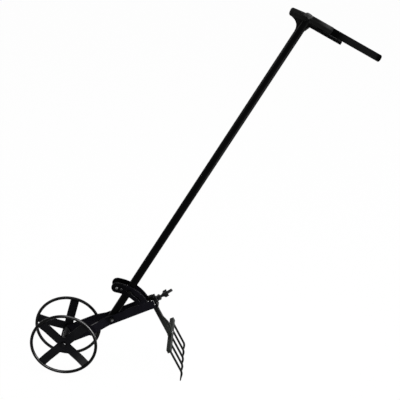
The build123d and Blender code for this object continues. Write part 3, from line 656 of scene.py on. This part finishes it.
handleWelds = {"saddleStart": 60, "saddleSpan": 240, "saddleSteps": 48, "saddleRadius": 1.6,
               "braceRuns": ((16, 36), (56, 78)), "braceStand": 0.7, "braceAcross": 6.2, "braceRadius": 1.4,
               "gussetRun": (16, 40), "gussetStand": 0.3, "gussetAcross": 3.2, "gussetRadius": 1.1}


def saddle(place, droop, radius, direction):  # where a side tube meets the round shaft
    lean = math.radians(handle["turn"] - droop)
    spots = []
    for step in range(handleWelds["saddleSteps"] + 1):
        share = step / handleWelds["saddleSteps"]
        turned = math.radians(handleWelds["saddleStart"] + handleWelds["saddleSpan"] * share)
        rise, across = radius * math.cos(turned), radius * math.sin(turned)
        flat = math.sqrt(max(handle["shaftRadius"] ** 2 - across ** 2, 0))
        along = (direction * flat + rise * math.cos(lean)) / math.sin(lean)
        spots.append(place(along, rise, across))
    return spots


store = emptyStore()
addBead(store, saddle(onArm, handle["droop"], handle["sleeveRadius"], 1), handleWelds["saddleRadius"])
addBead(store, saddle(onStub, handle["stubDroop"], handle["stubRadius"], -1), handleWelds["saddleRadius"])
for side in (-1, 1):
    braceRise = handleWelds["braceStand"] - handle["sleeveRadius"]
    braceAcross = side * handleWelds["braceAcross"]
    for run in handleWelds["braceRuns"]:
        addBead(store, [onArm(along, braceRise, braceAcross) for along in run], handleWelds["braceRadius"])
    gussetAcross = side * handleWelds["gussetAcross"]
    stubRise = handleWelds["gussetStand"] - handle["stubRadius"]
    underStub = [onStub(-along, stubRise, gussetAcross) for along in handleWelds["gussetRun"]]
    addBead(store, underStub, handleWelds["gussetRadius"])
    shaftRise = handle["shaftRadius"] - handleWelds["gussetStand"]
    downShaft = [onShaft(handle["stubTop"] - drop, shaftRise, gussetAcross)
                 for drop in handleWelds["gussetRun"]]
    addBead(store, downShaft, handleWelds["gussetRadius"])
newPiece("handleWelds", store, "handle", "crossbarPaint")

cornerWelds = {"across": (-4, 0, 4), "path": ((17, 1), (14.5, -5), (12, -11), (9.5, -18.5)), "radius": 3.0}
store = emptyStore()
braceFoot = -handle["sleeveRadius"] - handle["braceDepth"]
for across in cornerWelds["across"]:
    corner = [onArm(along, braceFoot + rise, across) for along, rise in cornerWelds["path"]]
    addBead(store, corner, cornerWelds["radius"])
newPiece("cornerWelds", store, "handle", "sleevePaint")

forkWelds = {"shankStand": 0.3, "shankRise": 0.4, "shankRadius": 1.6, "tineStand": 0.5, "tineRadius": 1.2,
             "ribInset": 0.2, "ribStand": 0.2, "ribEnd": 3, "ribRadius": 1.2}
store = emptyStore()
barTop, half = fork["barHalf"] - fork["drop"], fork["shankHalf"] + forkWelds["shankStand"]
corners = [(-half, -half), (half, -half), (half, half), (-half, half)]
shankFootPath = [onFork(along, barTop + forkWelds["shankRise"], across) for along, across in corners]
addBead(store, shankFootPath, forkWelds["shankRadius"], True)
for index in range(fork["tines"]):
    middle = (index - (fork["tines"] - 1) / 2) * fork["tineGap"]
    under = ringPath(lambda along, across: onFork(along, -fork["drop"] - fork["barHalf"], middle + across),
                     fork["tineRadius"] + forkWelds["tineStand"])
    addBead(store, under, forkWelds["tineRadius"], True)
for side in (-1, 1):
    across = side * (fork["ribHalf"] + forkWelds["ribStand"])
    ribSide = [onFork(half - forkWelds["ribInset"], barTop + rise, across)
               for rise in (forkWelds["ribEnd"], fork["ribLeg"] - forkWelds["ribEnd"])]
    addBead(store, ribSide, forkWelds["ribRadius"])
newPiece("forkWelds", store, "fork", "shankPaint")

forkBareWelds = {"run": (0.5, 4), "rise": 0.8, "across": 4.4, "radius": 2.0}
store = emptyStore()
for side in (-1, 1):
    spot = [onFork(half + along, barTop + forkBareWelds["rise"], side * forkBareWelds["across"])
            for along in forkBareWelds["run"]]
    addBead(store, spot, forkBareWelds["radius"])
newPiece("forkBareWelds", store, "fork", "weldSteel")
print("weld runs laid")

threadForm = {"sides": 28, "rows": 8, "flank": 1.5, "flat": 0.25, "leadDepth": 0.0007, "leadSlope": 0.8}


def addThread(store, start, end, minor, major, pitch, tapered):  # tapered narrows the thread at both ends
    length, heading = (end - start).length, (end - start).normalized()
    across = heading.orthogonal().normalized()
    other = heading.cross(across)
    sides, count, first = threadForm["sides"], int(length / pitch * threadForm["rows"]), len(store["spots"])
    for row in range(count + 1):
        along = length * row / count
        lead = major - threadForm["leadDepth"] + threadForm["leadSlope"] * min(along, length - along)
        for side in range(sides):
            angle = 2 * math.pi * side / sides
            crest = 1 - abs(2 * ((along / pitch - side / sides) % 1.0) - 1)
            height = min(max(crest * threadForm["flank"] - threadForm["flat"], 0), 1)
            radius = minor + (major - minor) * height
            radius = min(radius, lead) if tapered else radius
            outwards = across * math.cos(angle) + other * math.sin(angle)
            store["spots"].append(start + heading * along + outwards * radius)
    for row in range(count):
        addRow(store, first + row * sides, first + (row + 1) * sides, sides)
    addCaps(store, first, first + count * sides, sides)


# start and end in millimetres along the clamp screw, the rest in metres
threadedScrew = {"start": -5.16, "end": 63.0, "minor": 0.0042, "major": 0.005, "pitch": 0.0015}
store = emptyStore()
addThread(store, onClamp(threadedScrew["start"], 0, 0), onClamp(threadedScrew["end"], 0, 0),
          threadedScrew["minor"], threadedScrew["major"], threadedScrew["pitch"], True)
screwPiece = newPiece("threadedScrew", store, "clamp_screw", "screwSteel")
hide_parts("clamp_screw")

boltTails = {  # radius and pitch in metres
    "pivotThread": {"bolt": "pivot_bolt", "nut": "pivot_nut", "body": "frame", "radius": 0.004,
                    "pitch": 0.00125},
    "quadrantThreadFront": {"bolt": "quadrant_bolt_front", "nut": "quadrant_nut_front", "body": "frame",
                            "radius": 0.0025, "pitch": 0.0008},
    "quadrantThreadRear": {"bolt": "quadrant_bolt_rear", "nut": "quadrant_nut_rear", "body": "frame",
                           "radius": 0.0025, "pitch": 0.0008},
    "lockThread": {"bolt": "lock_bolt", "nut": "lock_nut", "body": "handle", "radius": 0.003, "pitch": 0.001},
}
tailThread = {"root": 0.00003, "crest": 0.0003, "endGap": 0.0002}
for name, tail in boltTails.items():
    nutLow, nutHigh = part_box(tail["nut"])
    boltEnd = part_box(tail["bolt"])[1].y - tailThread["endGap"]
    middle = (nutLow + nutHigh) / 2
    store = emptyStore()
    addThread(store, Vector((middle.x, nutHigh.y, middle.z)), Vector((middle.x, boltEnd, middle.z)),
              tail["radius"] + tailThread["root"], tail["radius"] + tailThread["crest"], tail["pitch"], False)
    newPiece(name, store, tail["body"], "oxideSteel")
print("threads cut")
